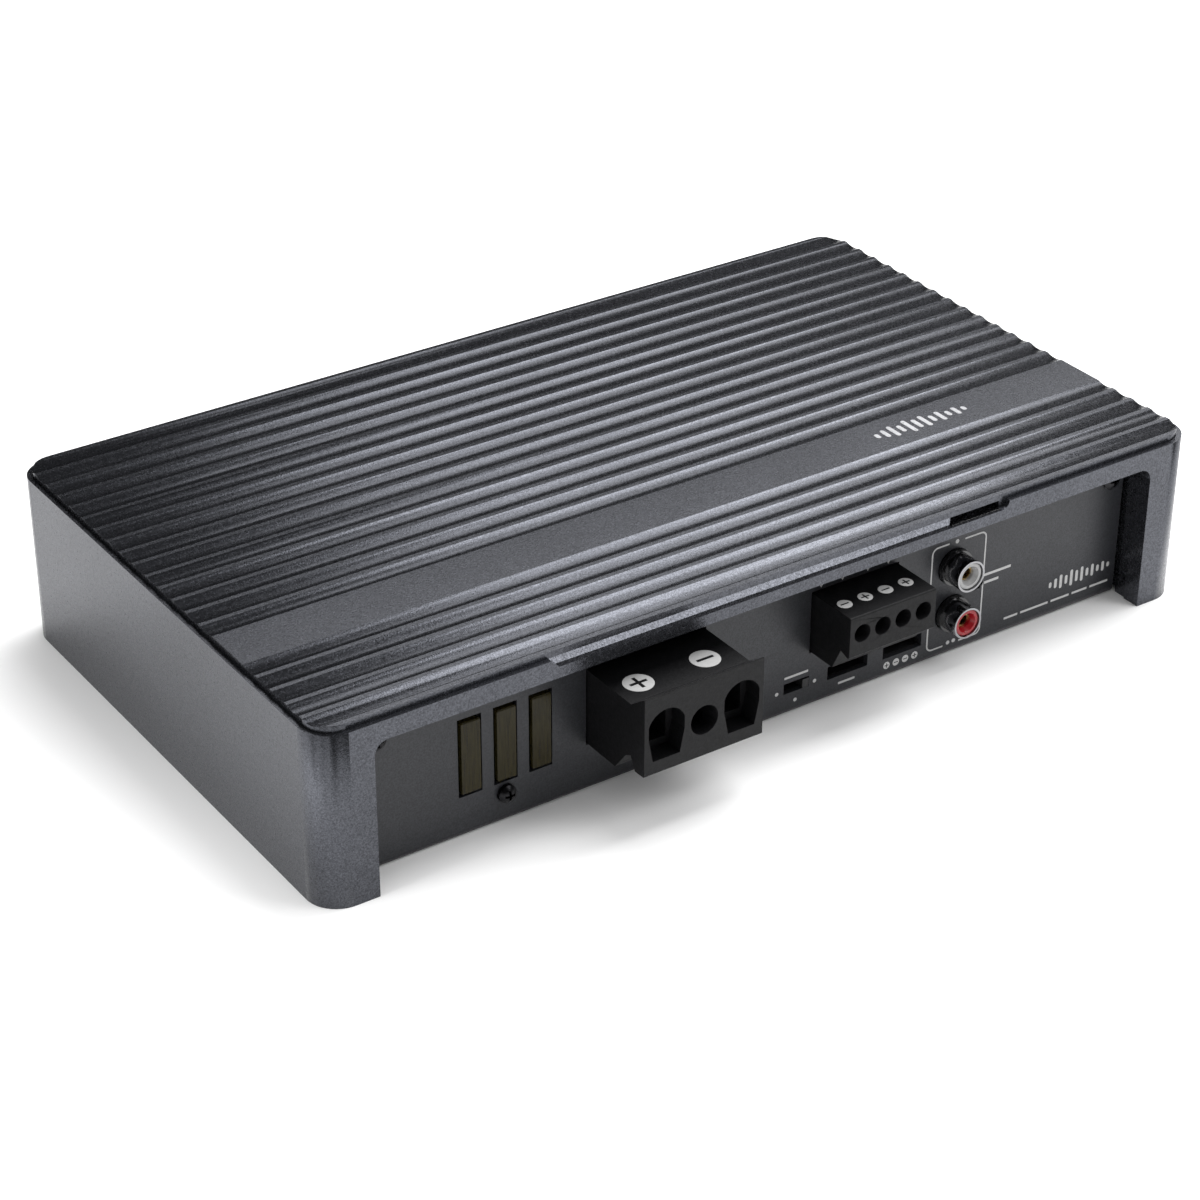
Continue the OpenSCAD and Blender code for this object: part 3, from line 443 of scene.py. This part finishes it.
def panel_marks():
    """Dots and dashes that stand for the switch, socket and output positions."""
    for k, (x, z) in enumerate(((3.3, 7.0), (8.9, 3.7), (14.6, 7.0))):
        printed(f"switch_dot_{k + 1}", [disc(x, z, 0.5, 20)])
    printed("switch_dash", [bar(9.0, 10.6, 7.0, 0.6)])
    printed("remote_dash", [bar(24.4, 3.7, 5.0, 0.6)])
    printed("input_dashes", [bar(70.4, 19.4, 9.0, 0.7), bar(68.8, 17.2, 4.6, 0.7)])
    for k, x in enumerate((15.4, 21.7, 29.3, 35.5)):
        printed(f"output_tick_{k + 1}", [[(x - 0.75, 33.8), (x, 32.5), (x + 0.75, 33.8)]])


def level_bars(name, x, y, width, height, face, material):
    """Generic mark: a row of round-ended level bars."""
    levels = (0.35, 0.6, 0.85, 0.55, 1.0, 0.7, 0.9, 0.5, 0.75, 0.4, 0.6, 0.3)
    pitch = width / len(levels)
    left = x - width / 2 + pitch / 2
    bars = [pill(left + k * pitch, y, pitch * 0.5, height * level) for k, level in enumerate(levels)]
    mark(name, bars, face, material, "amplifier")


def dashes(name, start, z, lengths):
    """Generic mark: a row of dashes on the front panel."""
    line, gap = 0.6, 1
    row = []
    for length in lengths:
        row.append(bar(start + length / 2, z, length, line))
        start += length + gap
    printed(name, row)


def rear_marks():
    """Scales round the three rear knobs, with a long tick at each end and in the middle."""
    start, pitch, steps, line = 230, 28, 11, 0.35
    inner, short, long = 5.4, 6.2, 6.8
    for k, x in enumerate(KNOB_X):
        middle = Vector((-x, KNOB_Z))
        ticks = []
        for step in range(steps):
            a = math.radians(start - step * pitch)
            way = Vector((math.cos(a), math.sin(a)))
            outer = long if step % 5 == 0 else short
            ticks += stroke([middle + way * inner, middle + way * outer], line)
        mark(f"knob_scale_{k + 1}", ticks, REAR_PANEL, "light_white", "amplifier")


# ---- studio ---------------------------------------------------------------------

def softbox(name, at, target, width, height, strength, glossy=True):
    """A soft rectangular light; strength is its brightness, the same at any size."""
    light = bpy.data.lights.new(name, "AREA")
    light.shape = "RECTANGLE"
    light.size, light.size_y = width, height
    light.energy = strength * width * height * math.pi
    lamp = bpy.data.objects.new(name, light)
    bpy.context.collection.objects.link(lamp)
    lamp.location = at
    lamp.rotation_euler = (Vector(target) - Vector(at)).to_track_quat("-Z", "Y").to_euler()
    lamp.visible_camera = False
    lamp.visible_glossy = glossy


def make_floor():
    n = Nodes("floor_white")
    grain = n.noise(900, detail=2)
    n.link(n.tint(grain, (0.86, 0.86, 0.86), (0.9, 0.9, 0.9)), n.shader.inputs["Base Color"])
    n.set(Roughness=0.7)
    mesh = bpy.data.meshes.new("floor")
    half = 4.0
    corners = [(-half, -half, 0), (half, -half, 0), (half, half, 0), (-half, half, 0)]
    mesh.from_pydata(corners, [], [(0, 1, 2, 3)])
    mesh.materials.append(n.material)
    floor = bpy.data.objects.new("floor", mesh)
    bpy.context.collection.objects.link(floor)
    floor.location.z = housing_low.z - 0.02 * MM


def make_world():
    world = bpy.data.worlds.new("studio")
    world.use_nodes = True
    background = world.node_tree.nodes["Background"]
    background.inputs["Color"].default_value = (1, 1, 1, 1)
    background.inputs["Strength"].default_value = 0.85
    bpy.context.scene.world = world
    world.cycles_visibility.glossy = False


def make_lights():
    softbox("overhead_right_softbox", (0.5, 0.04, 0.9), (0.1, 0, 0.04), 0.56, 1.0, 7.0)
    softbox("overhead_back_softbox", (0.62, 0.43, 0.86), (0.62, 0, 0.04), 0.84, 0.26, 4.4)
    softbox("back_wall_softbox", (0.52, 0.5, 0.56), (0.52, 0, 0.56), 0.95, 0.29, 2.4)
    softbox("front_right_softbox", (0.62, -0.68, 0.87), (0, -0.07, 0.04), 0.42, 0.42, 7.0)
    softbox("low_left_softbox", (-0.23, -0.07, 0.06), (-0.17, -0.03, 0), 0.04, 0.04, 20, glossy=False)


def make_camera():
    """A long lens from the front left, a little above."""
    data = bpy.data.cameras.new("camera")
    data.lens = 91.79
    data.sensor_width = 36
    camera = bpy.data.objects.new("camera", data)
    bpy.context.collection.objects.link(camera)
    right = Vector((0.827795, -0.561025, 0.002429))
    forward = Vector((0.48394, 0.71185, -0.50899))
    up = right.cross(forward)
    turn = Matrix((right, up, -forward)).transposed().to_4x4()
    camera.matrix_world = Matrix.Translation((-0.37599, -0.54706, 0.39542)) @ turn
    bpy.context.scene.camera = camera
    bpy.context.scene.view_settings.view_transform = "Standard"


make_camera()
make_world()
make_lights()
make_floor()
dress_nodes()
round_edges()
polarity_marks()
input_frame()
socket_marks()
panel_marks()
level_bars("top_level_mark", 71, BAND_Y, 30, 6.4, TOP_BAND, "bright_steel")
level_bars("panel_level_mark", 98.4, 9.2, 21, 4.6, FRONT_PANEL, "light_white")
dashes("panel_dash_row", 74, 4.4, (4.4, 9.0, 6.0, 5.0, 6.0))
rear_marks()
